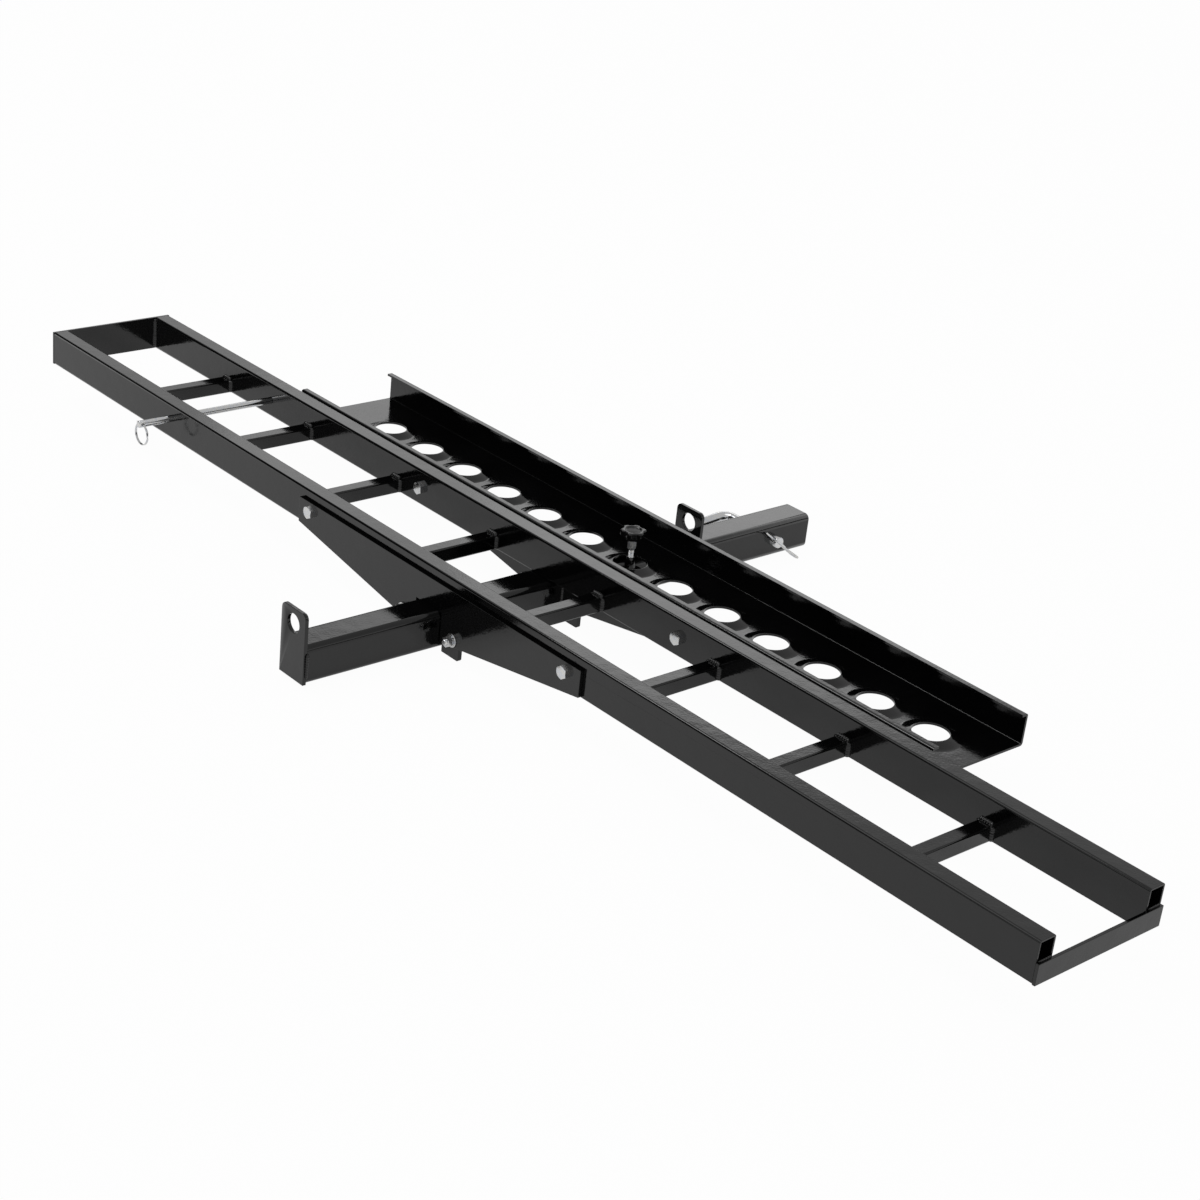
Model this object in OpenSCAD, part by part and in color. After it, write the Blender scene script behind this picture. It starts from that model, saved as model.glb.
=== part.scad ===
// Hitch motorcycle carrier with a ladder track and a stowed loading ramp.
// Origin: centre of the hitch pin hole in the shank. +X runs along the track,
// +Y along the hitch tube towards the vehicle, +Z up. Millimetres.

/* [Hitch tube] */
// Outside width of the square hitch tube
tube_w = 50; // [46:0.5:56]
// Wall of the hitch tube
tube_wall = 5; // [3:0.5:7]
// Outside corner radius of the hitch tube
tube_corner = 8; // [3:0.5:10]
// From the hitch pin hole to the shank's vehicle end
shank_tail = 67; // [50:1:110]
// From the hitch pin hole to the far side of the track
pin_to_track = 382; // [340:1:520]
// Reach of the hitch tube past the near side of the track
tube_reach = 203; // [120:1:300]

/* [Track] */
// Length of the rails with the left end plate
track_l = 1930; // [1700:1:2200]
// Overall width of the track
track_w = 200; // [170:1:240]
// Distance of the track's middle to the right of the hitch tube
track_shift = 5; // [-30:1:30]
// Width of a rail tube
rail_w = 25; // [20:0.5:32]
// Height of a rail tube
rail_h = 50; // [46:0.5:60]
// Wall of a rail tube
rail_wall = 2.5; // [1.5:0.1:4]
// Outside corner radius of a rail tube
rail_corner = 3; // [1.5:0.1:4]
// Thickness of the left end plate and the right end bar
end_t = 4; // [3:0.5:8]
// Height of the right end bar
end_bar_h = 25; // [15:1:45]

/* [Rungs] */
// Side of a square rung tube
rung_w = 20; // [16:0.5:25]
// Wall of a rung tube
rung_wall = 2; // [1:0.1:3]
// Outside corner radius of a rung tube
rung_corner = 2.5; // [1:0.1:4]
// Distance from a track end to the middle of the nearest rung
rung_inset = 212.5; // [120:0.5:300]

/* [Gusset plates] */
// Thickness of a gusset plate
gusset_t = 5; // [3:0.5:8]
// Length of a gusset plate
gusset_l = 578; // [540:1:640]
// Length of the flat along the bottom of a gusset plate
gusset_flat = 60; // [56:1:220]
// Drop of the plate's top edge below the top of the rails
gusset_drop = 13; // [5:0.5:14]
// Height of a gusset plate at its ends
gusset_end_h = 35; // [30:0.5:36]
// Depth of a gusset plate below the rails
gusset_depth = 40; // [36:0.5:48]
// Distance between the two bolts of a gusset plate
gusset_bolt_span = 524; // [400:1:530]

/* [Clamp ears] */
// Thickness of an ear welded to the hitch tube
ear_t = 6; // [3:0.5:8]
// Reach of an ear from the side of the hitch tube
ear_w = 34; // [33:0.5:50]
// Drop of an ear below the underside of the hitch tube
ear_drop = 5; // [0:0.5:10]
// Radius of an ear's lower outside corner
ear_r = 3; // [2:0.5:9]
// Distance of a clamp bolt from the side of the hitch tube
clamp_x = 26; // [22:0.5:27]
// Depth of a clamp bolt below the rails
clamp_drop = 27; // [20:0.5:28]

/* [Gusset bolts and nuts] */
// Thread diameter of the gusset bolts
bolt_d = 10; // [8:0.5:10]
// Width of a gusset bolt's hexagon across its flats
hex_af = 16; // [15:0.5:17]
// Height of a gusset bolt's head
head_h = 6.4; // [5:0.1:8]
// Height of a nut on the inner side of the near rail
nut_h = 8; // [6:0.1:8.5]
// Height of a thin nut between the far gusset and the ramp
thin_nut_h = 5; // [4:0.1:5.5]
// Bolt end left standing past a gusset nut
gusset_bolt_tip = 1.5; // [0.5:0.5:2]
// Gap between a bolt and its hole all round
bolt_gap = 0.25; // [0.1:0.05:0.5]

/* [Clamp bolts, nuts and washers] */
// Thread diameter of the clamp bolts
clamp_bolt_d = 8; // [6:0.5:8]
// Width of a clamp bolt's hexagon across its flats
clamp_hex_af = 13; // [12:0.5:14]
// Height of a clamp bolt's head
clamp_head_h = 5.3; // [4:0.1:7]
// Height of a clamp nut
clamp_nut_h = 6.5; // [5:0.1:7]
// Outside diameter of a flat washer
washer_d = 18; // [16:0.5:19]
// Thickness of a flat washer
washer_t = 2; // [1:0.1:3]
// Outside diameter of a spring washer
spring_d = 14.8; // [14:0.1:15.5]
// Thickness of a spring washer
spring_t = 2; // [1.5:0.1:3]
// Bolt end left standing past a clamp nut
clamp_bolt_tip = 3; // [1:0.5:10]

/* [Strap plates] */
// Thickness of a strap plate
strap_t = 5; // [4:0.5:8]
// Height of a strap plate above the hitch tube
strap_rise = 43; // [38:0.5:60]
// Diameter of a strap hole
strap_hole_d = 25; // [20:0.5:26]
// Depth of a strap hole's centre below the plate's top edge
strap_hole_drop = 20; // [18:0.5:22]
// Radius of a strap plate's top corners
strap_r = 7.5; // [3:0.5:10]
// From the hitch pin hole back to the far strap plate
strap_back = 143; // [110:1:160]

/* [Ramp] */
// Length of the ramp channel
ramp_l = 1250; // [1240:1:1500]
// Width of the ramp channel
ramp_w = 166; // [150:1:170]
// Height of the ramp channel
ramp_h = 42.7; // [36:0.1:60]
// Sheet thickness of the ramp
ramp_t = 3; // [2:0.1:4]
// Width of the lips turned in along the top
ramp_lip = 10; // [8:0.5:20]
// Outside radius of the bends
ramp_bend = 5; // [4.5:0.1:8]
// Gap between the track and the ramp
ramp_gap = 14; // [12.5:0.5:16]
// Diameter of the holes in the ramp's floor
ramp_hole_d = 46; // [40:0.5:50]
// Distance from one hole to the next
ramp_pitch = 88.9; // [85:0.1:92]
// Distance from the ramp's left end to its first hole
ramp_lead = 112.6; // [60:0.1:120]
// Outside diameter of the raised collar round a hole
collar_d = 80; // [66:0.5:84]
// Rise of a collar above the floor
collar_rise = 5; // [2:0.1:7]

/* [Ramp knob] */
// Distance of the knob's axis to the right of the hitch tube's side
knob_out = 12; // [11:0.5:16]
// Diameter of the knob over its lobes
knob_d = 36; // [30:0.5:38]
// Height of the lobed head of the knob
knob_head_h = 8; // [6:0.5:14]
// Height of the neck under the knob's head
knob_neck_h = 6; // [4:0.5:12]
// Diameter of each of the knob's lobes
knob_lobe_d = 10.8; // [8:0.1:12]
// Diameter of the round part inside the knob's lobes
knob_core_d = 28.8; // [25:0.1:30]
// Depth of the dish in the knob's top
knob_dish = 1.6; // [0.5:0.1:3]
// Diameter of the dish in the knob's top
knob_dish_d = 22.4; // [14:0.1:24]
// Diameter of the neck's upper end
knob_neck_d = 23; // [18:0.5:25]
// Diameter of the neck's lower end
knob_foot_d = 18; // [14:0.5:18]
// Depth of the stud in the knob's head
stud_in_head = 3.5; // [2:0.5:5]
// Height of the neck's lower end above the hitch tube
knob_rise = 41; // [38:0.5:50]
// Diameter of the metal sleeve under the knob
sleeve_d = 11.4; // [9.5:0.1:14]
// Length of the metal sleeve
sleeve_h = 14; // [8:0.5:18]
// Diameter of the threaded stud
stud_d = 8; // [6:0.5:8]
// Length of stud below the top of the hitch tube
stud_below = 22; // [20:0.5:30]
// Diameter of the post that takes the stud
post_d = 14; // [12:0.5:18]
// Height of the post above the top of the hitch tube
post_rise = 16; // [11:0.5:18]
// Thickness of the bracket under the post
bracket_t = 6; // [4:0.5:8]
// Reach of the bracket from the hitch tube's side
bracket_reach = 42; // [38:0.5:60]
// Width of the bracket
bracket_w = 52; // [40:1:70]

/* [Hitch pin and its clip] */
// Diameter of the hitch pin
pin_d = 16; // [12:0.5:18]
// Hitch pin's length past the right side of the hitch tube
pin_tip = 12; // [11:0.5:20]
// Clip hole's distance from the hitch pin's tip
clip_hole_in = 6.5; // [5:0.5:7]
// Hitch pin handle's distance from the tube's left side
handle_out = 49; // [34:0.5:60]
// Radius of the hitch pin's bend, along its middle
pin_bend = 16; // [14:0.5:22]
// Reach of the hitch pin's handle from its axis
handle_l = 52; // [40:1:100]
// Slope of the hitch pin's handle below level, in degrees
handle_slope = 6; // [0:1:20]
// Diameter of the clip's wire
clip_wire = 3; // [2.4:0.1:3]
// Length of the clip's straight leg before the hitch pin
clip_leg_in = 30; // [20:0.5:40]
// Length of the clip's straight leg behind the hitch pin
clip_leg_out = 41; // [39:0.5:60]
// Radius of the clip's eye, along its middle
clip_eye_r = 6.5; // [5.5:0.1:8]
// Slope of the clip below level, in degrees
clip_slope = 38; // [0:1:70]

/* [Wheel pin and its ring] */
// Diameter of the wheel pin
wheel_pin_d = 10; // [8:0.5:12]
// Distance of the wheel pin from the track's left end
wheel_pin_x = 330; // [260:1:350]
// Wheel pin's length outside the near rail
wheel_pin_out = 47; // [44:0.5:80]
// Depth of the wheel pin's tip in the far rail
wheel_pin_in = 12; // [5:0.5:15]
// Ring hole's distance from the wheel pin's outer end
ring_hole_in = 6; // [5:0.5:10]
// Diameter of the hole for the ring
ring_hole_d = 3.4; // [3.2:0.1:4]
// Outside diameter of the key ring
ring_d = 33; // [28:0.5:40]
// Diameter of the key ring's wire
ring_wire = 1.8; // [1.5:0.1:1.9]

/* [Hidden] */
$fn = 64;

paint_black = [0.05, 0.05, 0.055];
zinc = [0.72, 0.73, 0.75];
bright_steel = [0.82, 0.83, 0.85];

run_gap = 0.05;
pin_gap = 0.08;
plate_gap = 1;
least_r = 0.5;
eps = 0.01;
cut = 1;

tube_top = tube_w / 2;
track_far = -pin_to_track;
track_near = track_far - track_w;
track_top = tube_top + rail_h;
track_x0 = track_shift - track_l / 2;
track_x1 = track_x0 + track_l;
rail_mid_z = tube_top + rail_h / 2;
tube_near = track_near - tube_reach;
tube_l = shank_tail - tube_near;

rung_n = 8;
rung_l = track_w - 2 * rail_w;
rung_pitch = (track_l - 2 * rung_inset) / (rung_n - 1);

gusset_bolt_x = gusset_bolt_span / 2;
gusset_top = track_top - gusset_drop;
notch_half = tube_w / 2 + plate_gap;
clamp_bolt_x = tube_w / 2 + clamp_x;
clamp_z = tube_top - clamp_drop;
hole_r = bolt_d / 2 + bolt_gap;
clamp_hole_r = clamp_bolt_d / 2 + bolt_gap;

ramp_near = track_far + ramp_gap;
ramp_mid = ramp_near + ramp_w / 2;
knob_x = tube_w / 2 + knob_out;
ramp_holes = 13;
knob_hole = 7;
knob_lobes = 6;
ramp_x0 = knob_x - (knob_hole - 1) * ramp_pitch - ramp_lead;

sleeve_z0 = tube_top + knob_rise - sleeve_h;
neck_z0 = tube_top + knob_rise;
head_z0 = neck_z0 + knob_neck_h;
stud_z0 = tube_top - stud_below;
stud_socket = knob_neck_h + stud_in_head;
stud_l = neck_z0 + stud_socket - stud_z0;

clip_x = tube_w / 2 + pin_tip - clip_hole_in;
clip_hole_r = clip_wire / 2 + run_gap;
// Most degrees from one ring of the clip's wire to the next, and a ring's corners
wire_step = 11;
wire_sides = 12;
// The clip's wire after its straight leg's end, as rows of straight run, bend
// radius and bend angle. The sprung leg leaves the eye towards the pin, closes on
// the straight leg at its waist, opens to pass the pin's end, and flares at its tip
clip_steps = [
    [clip_leg_in + clip_leg_out, clip_eye_r, -208],
    [15, 8, 62],
    [3, 10, -34],
    [16, 8, 22],
    [5, 0, 0]
];
pin_hole_r = pin_d / 2 + pin_gap;

wheel_x = track_x0 + wheel_pin_x;
wheel_pin_y0 = track_near - wheel_pin_out;
wheel_pin_l = wheel_pin_out + track_w - rail_w + wheel_pin_in;
wheel_hole_r = wheel_pin_d / 2 + pin_gap;
ring_r = (ring_d - ring_wire) / 2;
// Rise of the ring's curve over the length of its hole, halved to centre it
ring_lift = (ring_r - sqrt(ring_r * ring_r - wheel_pin_d * wheel_pin_d / 4)) / 2;

// Rectangle with rounded corners, built from its corner circles
module round_rect(w, h, r) {
    square([w - 2 * r, h], center = true);
    square([w, h - 2 * r], center = true);
    for (x = [-1, 1])
        for (y = [-1, 1])
            translate([x * (w / 2 - r), y * (h / 2 - r)])
                circle(r = r);
}

// Tube section
module tube_section(w, h, wall, r) {
    difference() {
        round_rect(w, h, r);
        round_rect(w - 2 * wall, h - 2 * wall, max(r - wall, least_r));
    }
}

// Lays a section drawn in X and Z along +Y
module along_y(l) {
    rotate([90, 0, 0])
        mirror([0, 0, 1])
            linear_extrude(l)
                children();
}

// Lays a section drawn in Y and Z along +X
module along_x(l) {
    rotate([90, 0, 90])
        linear_extrude(l)
            children();
}

// Round hole or shaft along +Y
module rod_y(r, l) {
    rotate([-90, 0, 0])
        cylinder(r = r, h = l);
}

// Round hole or shaft along +X
module rod_x(r, l) {
    rotate([0, 90, 0])
        cylinder(r = r, h = l);
}

// Hexagon prism with its top corners turned down, 2 out for 1 down
module hexagon(af, h) {
    intersection() {
        rotate([0, 0, 30])
            cylinder(r = af / sqrt(3), h = h, $fn = 6);
        cylinder(r1 = af / 2 + 2 * h, r2 = af / 2, h = h);
    }
}

// Hexagon bolt: head outside the origin plane, shank along -Z
module bolt(d, af, head, shank) {
    hexagon(af, head);
    translate([0, 0, -shank])
        cylinder(r = d / 2, h = shank + eps);
}

// Hexagon nut for a bolt of diameter d
module nut(d, af, h) {
    difference() {
        hexagon(af, h);
        translate([0, 0, -cut])
            cylinder(r = d / 2 + run_gap, h = h + 2 * cut);
    }
}

// Flat ring with a bolt hole
module washer(d, t, r) {
    difference() {
        cylinder(r = d / 2, h = t);
        translate([0, 0, -cut])
            cylinder(r = r, h = t + 2 * cut);
    }
}

// Points of a bent wire as [x, y, heading]: each step is a straight run, a bend
// radius and the bend's angle, turning left when positive
function wire_path(steps, x, y, h, i = 0) =
    i == len(steps) ? [] :
    let (
        turn = steps[i][2],
        bend = sign(turn) * steps[i][1],
        x1 = x + steps[i][0] * cos(h),
        y1 = y + steps[i][0] * sin(h),
        n = ceil(abs(turn) / wire_step),
        arc = [for (k = [0 : n])
            let (a = n == 0 ? h : h + turn * k / n)
                [x1 + bend * (sin(a) - sin(h)), y1 - bend * (cos(a) - cos(h)), a]]
    )
    concat(arc, wire_path(steps, arc[n][0], arc[n][1], arc[n][2], i + 1));

// Sweeps a ring of wire_sides corners along a path in the XY plane
module bent_wire(path, r) {
    n = wire_sides;
    last = len(path) - 1;
    points = [for (p = path)
        for (k = [0 : n - 1])
            let (a = 360 * k / n)
                [p[0] - r * cos(a) * sin(p[2]), p[1] + r * cos(a) * cos(p[2]), r * sin(a)]];
    sides = [for (i = [0 : last - 1])
        for (k = [0 : n - 1])
            let (a = i * n + k, b = i * n + (k + 1) % n)
                each [[a, a + n, b + n], [a, b + n, b]]];
    ends = [[for (k = [0 : n - 1]) k], [for (k = [n - 1 : -1 : 0]) last * n + k]];
    polyhedron(points, concat(sides, ends), convexity = 4);
}

module hitch_tube() {
    color(paint_black)
        difference() {
            translate([0, tube_near, 0])
                along_y(tube_l)
                    tube_section(tube_w, tube_w, tube_wall, tube_corner);
            translate([-tube_w / 2 - cut, 0, 0])
                rod_x(pin_hole_r, tube_w + 2 * cut);
        }
}

// Plate across the tube with its two top corners rounded and a strap hole
module strap_plate(bottom, y) {
    top = tube_top + strap_rise;
    color(paint_black)
        translate([0, y, 0])
            difference() {
                along_y(strap_t) {
                    translate([-tube_w / 2, bottom])
                        square([tube_w, top - strap_r - bottom]);
                    translate([0, top - strap_r])
                        square([tube_w - 2 * strap_r, 2 * strap_r], center = true);
                    for (x = [-1, 1])
                        translate([x * (tube_w / 2 - strap_r), top - strap_r])
                            circle(r = strap_r);
                }
                translate([0, -cut, top - strap_hole_drop])
                    rod_y(strap_hole_d / 2, strap_t + 2 * cut);
            }
}

// Ear on the tube's side: side is -1 left or 1 right, y its lower face
module ear(side, y) {
    low_z = -tube_top - ear_drop;
    color(paint_black)
        mirror([side < 0 ? 1 : 0, 0, 0])
            translate([tube_w / 2, y, 0])
                difference() {
                    along_y(ear_t) {
                        translate([0, low_z + ear_r])
                            square([ear_w, tube_top - low_z - ear_r]);
                        translate([0, low_z])
                            square([ear_w - ear_r, 2 * ear_r]);
                        translate([ear_w - ear_r, low_z + ear_r])
                            circle(r = ear_r);
                    }
                    translate([clamp_x, -cut, clamp_z])
                        rod_y(clamp_hole_r, ear_t + 2 * cut);
                }
}

// Rail from the left end plate to the open right end
module rail(y, pin_hole_from, pin_hole_l) {
    color(paint_black)
        difference() {
            translate([track_x0 + end_t, y + rail_w / 2, rail_mid_z])
                along_x(track_l - end_t)
                    tube_section(rail_w, rail_h, rail_wall, rail_corner);
            for (x = [-1, 1])
                translate([x * gusset_bolt_x, y - cut, rail_mid_z])
                    rod_y(hole_r, rail_w + 2 * cut);
            translate([wheel_x, y + pin_hole_from, rail_mid_z])
                rod_y(wheel_hole_r, pin_hole_l);
        }
}

module left_end_plate() {
    color(paint_black)
        translate([track_x0, track_near, tube_top])
            cube([end_t, track_w, rail_h]);
}

module right_end_bar() {
    color(paint_black)
        translate([track_x1, track_near, tube_top])
            cube([end_t, track_w, end_bar_h]);
}

module rung(i) {
    color(paint_black)
        translate([
            track_x0 + rung_inset + (i - 1) * rung_pitch,
            track_near + rail_w,
            tube_top + rung_w / 2
        ])
            along_y(rung_l)
                tube_section(rung_w, rung_w, rung_wall, rung_corner);
}

// Wide plate notched for the tube, with sloping lower edges
module gusset(y) {
    end_z = gusset_top - gusset_end_h;
    low_z = tube_top - gusset_depth;
    color(paint_black)
        translate([0, y, 0])
            difference() {
                along_y(gusset_t)
                    difference() {
                        polygon([
                            [-gusset_l / 2, gusset_top],
                            [gusset_l / 2, gusset_top],
                            [gusset_l / 2, end_z],
                            [gusset_flat / 2, low_z],
                            [-gusset_flat / 2, low_z],
                            [-gusset_l / 2, end_z]
                        ]);
                        translate([-notch_half, low_z - cut])
                            square([2 * notch_half, tube_top - low_z + cut]);
                    }
                for (x = [-1, 1]) {
                    translate([x * gusset_bolt_x, -cut, rail_mid_z])
                        rod_y(hole_r, gusset_t + 2 * cut);
                    translate([x * clamp_bolt_x, -cut, clamp_z])
                        rod_y(clamp_hole_r, gusset_t + 2 * cut);
                }
            }
}

// Puts a child at the two bolts of a gusset plate, +Z pointing to the near side
module at_gusset_bolts(y) {
    for (x = [-1, 1])
        translate([x * gusset_bolt_x, y, rail_mid_z])
            rotate([90, 0, 0])
                children();
}

// Puts a child at the four clamp bolts, +Z pointing outwards
module at_clamps(out) {
    for (x = [-1, 1]) {
        translate([x * clamp_bolt_x, track_near - out, clamp_z])
            rotate([90, 0, 0])
                children();
        translate([x * clamp_bolt_x, track_far + out, clamp_z])
            rotate([-90, 0, 0])
                children();
    }
}

// All four heads face the near side: on the near gusset and on the far rail
module gusset_bolts() {
    color(zinc) {
        at_gusset_bolts(track_near - gusset_t)
            bolt(bolt_d, hex_af, head_h, gusset_t + rail_w + nut_h + gusset_bolt_tip);
        at_gusset_bolts(track_far - rail_w)
            bolt(bolt_d, hex_af, head_h, gusset_t + rail_w + thin_nut_h + gusset_bolt_tip);
    }
}

module gusset_nuts() {
    color(zinc) {
        at_gusset_bolts(track_near + rail_w + nut_h)
            nut(bolt_d, hex_af, nut_h);
        at_gusset_bolts(track_far + gusset_t + thin_nut_h)
            nut(bolt_d, hex_af, thin_nut_h);
    }
}

module clamp_bolts() {
    shank = ear_t + gusset_t + washer_t + spring_t + clamp_nut_h + clamp_bolt_tip;
    color(zinc)
        at_clamps(-ear_t)
            mirror([0, 0, 1])
                bolt(clamp_bolt_d, clamp_hex_af, clamp_head_h, shank);
}

module clamp_washers() {
    color(zinc)
        at_clamps(gusset_t)
            washer(washer_d, washer_t, clamp_hole_r);
}

module clamp_spring_washers() {
    color(zinc)
        at_clamps(gusset_t + washer_t)
            washer(spring_d, spring_t, clamp_bolt_d / 2 + run_gap);
}

module clamp_nuts() {
    color(zinc)
        at_clamps(gusset_t + washer_t + spring_t)
            nut(clamp_bolt_d, clamp_hex_af, clamp_nut_h);
}

// Pressed sheet collar that climbs from the floor to the hole's rim
module collar() {
    rotate_extrude()
        polygon([
            [ramp_hole_d / 2, collar_rise],
            [collar_d / 2, 0],
            [collar_d / 2, ramp_t],
            [ramp_hole_d / 2, collar_rise + ramp_t]
        ]);
}

module ramp_channel() {
    color(paint_black) {
        difference() {
            translate([ramp_x0, ramp_mid, tube_top + ramp_h / 2])
                along_x(ramp_l)
                    difference() {
                        tube_section(ramp_w, ramp_h, ramp_t, ramp_bend);
                        translate([-ramp_w / 2 + ramp_lip, 0])
                            square([ramp_w - 2 * ramp_lip, ramp_h]);
                    }
            for (i = [0 : ramp_holes - 1])
                translate([ramp_x0 + ramp_lead + i * ramp_pitch, ramp_mid, tube_top - cut])
                    cylinder(r = collar_d / 2, h = ramp_t + 2 * cut);
        }
        for (i = [0 : ramp_holes - 1])
            translate([ramp_x0 + ramp_lead + i * ramp_pitch, ramp_mid, tube_top])
                collar();
    }
}

module knob_bracket() {
    color(paint_black)
        difference() {
            translate([tube_w / 2, ramp_mid - bracket_w / 2, tube_top - tube_corner - bracket_t])
                cube([bracket_reach, bracket_w, bracket_t]);
            translate([knob_x, ramp_mid, tube_top - tube_corner - bracket_t - cut])
                cylinder(r = stud_d / 2 + run_gap, h = bracket_t + 2 * cut);
        }
}

// Round post with a tapped bore, standing on the bracket
module knob_post() {
    h = tube_corner + post_rise;
    color(paint_black)
        translate([knob_x, ramp_mid, tube_top - tube_corner])
            difference() {
                cylinder(r = post_d / 2, h = h);
                translate([0, 0, -cut])
                    cylinder(r = stud_d / 2 + run_gap, h = h + 2 * cut);
            }
}

module knob_sleeve() {
    color(bright_steel)
        translate([knob_x, ramp_mid, sleeve_z0])
            difference() {
                cylinder(r = sleeve_d / 2, h = sleeve_h);
                translate([0, 0, -cut])
                    cylinder(r = stud_d / 2 + run_gap, h = sleeve_h + 2 * cut);
            }
}

// Star knob: lobes round a dished head, on a neck that narrows downwards
module knob_handle() {
    color(paint_black)
        translate([knob_x, ramp_mid, 0])
            difference() {
                union() {
                    translate([0, 0, head_z0])
                        linear_extrude(knob_head_h) {
                            circle(r = knob_core_d / 2);
                            for (i = [1 : knob_lobes])
                                rotate(i * 360 / knob_lobes)
                                    translate([(knob_d - knob_lobe_d) / 2, 0])
                                        circle(r = knob_lobe_d / 2);
                        }
                    translate([0, 0, neck_z0])
                        cylinder(r1 = knob_foot_d / 2, r2 = knob_neck_d / 2, h = knob_neck_h);
                }
                translate([0, 0, head_z0 + knob_head_h - knob_dish])
                    cylinder(r1 = knob_dish_d / 2 - knob_dish, r2 = knob_dish_d / 2, h = knob_dish + eps);
                translate([0, 0, neck_z0 - cut])
                    cylinder(r = stud_d / 2, h = stud_socket + cut);
            }
}

module knob_stud() {
    color(bright_steel)
        translate([knob_x, ramp_mid, stud_z0])
            cylinder(r = stud_d / 2, h = stud_l);
}

// Straight shank, one bend and a handle that points back to the track
module hitch_pin() {
    tip_x = tube_w / 2 + pin_tip;
    bend_x = -tube_w / 2 - handle_out + pin_bend;
    color(bright_steel)
        difference() {
            rotate([handle_slope, 0, 0]) {
                translate([bend_x, 0, 0])
                    rod_x(pin_d / 2, tip_x - bend_x);
                translate([bend_x, -pin_bend, 0])
                    rotate([0, 0, 90])
                        rotate_extrude(angle = 90)
                            translate([pin_bend, 0])
                                circle(r = pin_d / 2);
                translate([bend_x - pin_bend, -handle_l, 0])
                    rod_y(pin_d / 2, handle_l - pin_bend);
            }
            clip_frame()
                translate([-pin_d, 0, 0])
                    rod_x(clip_hole_r, 2 * pin_d);
        }
}

// Frame of the clip: local X runs down its straight leg, away from the tip
module clip_frame() {
    translate([clip_x, 0, 0])
        rotate([-clip_slope, 0, 0])
            rotate([0, 0, 90])
                children();
}

// Straight leg, round eye, and a sprung leg that passes the pin's end
module hitch_pin_clip() {
    color(bright_steel)
        clip_frame()
            bent_wire(
                concat([[-clip_leg_in, 0, 0]], wire_path(clip_steps, -clip_leg_in, 0, 0)),
                clip_wire / 2
            );
}

module wheel_pin() {
    color(bright_steel)
        difference() {
            translate([wheel_x, wheel_pin_y0, rail_mid_z])
                rod_y(wheel_pin_d / 2, wheel_pin_l);
            translate([wheel_x - wheel_pin_d, wheel_pin_y0 + ring_hole_in, rail_mid_z])
                rod_x(ring_hole_d / 2, 2 * wheel_pin_d);
        }
}

module wheel_pin_ring() {
    color(bright_steel)
        translate([wheel_x, wheel_pin_y0 + ring_hole_in, rail_mid_z - ring_r + ring_lift])
            rotate([90, 0, 0])
                rotate_extrude()
                    translate([ring_r, 0])
                        circle(r = ring_wire / 2);
}

hitch_tube();
strap_plate(-tube_top, tube_near - strap_t);  // near_strap_plate
strap_plate(tube_top, -strap_back - strap_t);  // far_strap_plate
ear(-1, track_near);  // near_left_ear
ear(1, track_near);  // near_right_ear
ear(-1, track_far - ear_t);  // far_left_ear
ear(1, track_far - ear_t);  // far_right_ear
rail(track_near, -cut, rail_w + 2 * cut);  // near_rail
rail(track_far - rail_w, -cut, rail_w / 2 + cut);  // far_rail
left_end_plate();
right_end_bar();
rung(1);  // rung_1
rung(2);  // rung_2
rung(3);  // rung_3
rung(4);  // rung_4
rung(5);  // rung_5
rung(6);  // rung_6
rung(7);  // rung_7
rung(8);  // rung_8
gusset(track_near - gusset_t);  // near_gusset
gusset(track_far);  // far_gusset
gusset_bolts();
gusset_nuts();
clamp_bolts();
clamp_washers();
clamp_spring_washers();
clamp_nuts();
ramp_channel();
knob_bracket();
knob_post();
knob_sleeve();
knob_handle();
knob_stud();
hitch_pin();
hitch_pin_clip();
wheel_pin();
wheel_pin_ring();
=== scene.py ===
import math

import bmesh
import bpy
import numpy as np
from mathutils import Matrix, Vector


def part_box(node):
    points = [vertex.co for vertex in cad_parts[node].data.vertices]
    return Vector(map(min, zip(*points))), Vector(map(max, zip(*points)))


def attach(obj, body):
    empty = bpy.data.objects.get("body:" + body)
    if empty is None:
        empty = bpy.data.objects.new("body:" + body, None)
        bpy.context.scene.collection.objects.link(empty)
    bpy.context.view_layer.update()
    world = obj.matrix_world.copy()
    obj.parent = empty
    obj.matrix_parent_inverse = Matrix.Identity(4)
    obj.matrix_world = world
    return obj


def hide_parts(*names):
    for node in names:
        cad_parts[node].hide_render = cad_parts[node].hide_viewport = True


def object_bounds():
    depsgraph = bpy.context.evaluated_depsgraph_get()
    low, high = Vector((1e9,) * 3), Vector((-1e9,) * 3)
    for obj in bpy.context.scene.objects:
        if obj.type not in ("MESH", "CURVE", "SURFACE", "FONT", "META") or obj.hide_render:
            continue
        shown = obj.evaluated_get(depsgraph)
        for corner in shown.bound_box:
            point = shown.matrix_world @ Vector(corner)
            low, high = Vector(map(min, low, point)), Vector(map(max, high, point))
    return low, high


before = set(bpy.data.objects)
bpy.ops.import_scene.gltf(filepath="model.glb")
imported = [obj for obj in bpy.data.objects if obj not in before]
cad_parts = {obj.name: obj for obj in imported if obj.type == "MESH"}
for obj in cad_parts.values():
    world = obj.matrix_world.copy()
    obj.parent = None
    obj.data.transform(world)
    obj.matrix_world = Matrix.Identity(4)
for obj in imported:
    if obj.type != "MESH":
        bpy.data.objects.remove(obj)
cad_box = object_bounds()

# Powder coat: the finish of the frame and the ramp.
# Powder is sprayed on the bare steel and baked, which leaves a hard, shiny black
# film with a shallow orange peel. Its effects are node groups, used again below.
MM = 0.001


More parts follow.
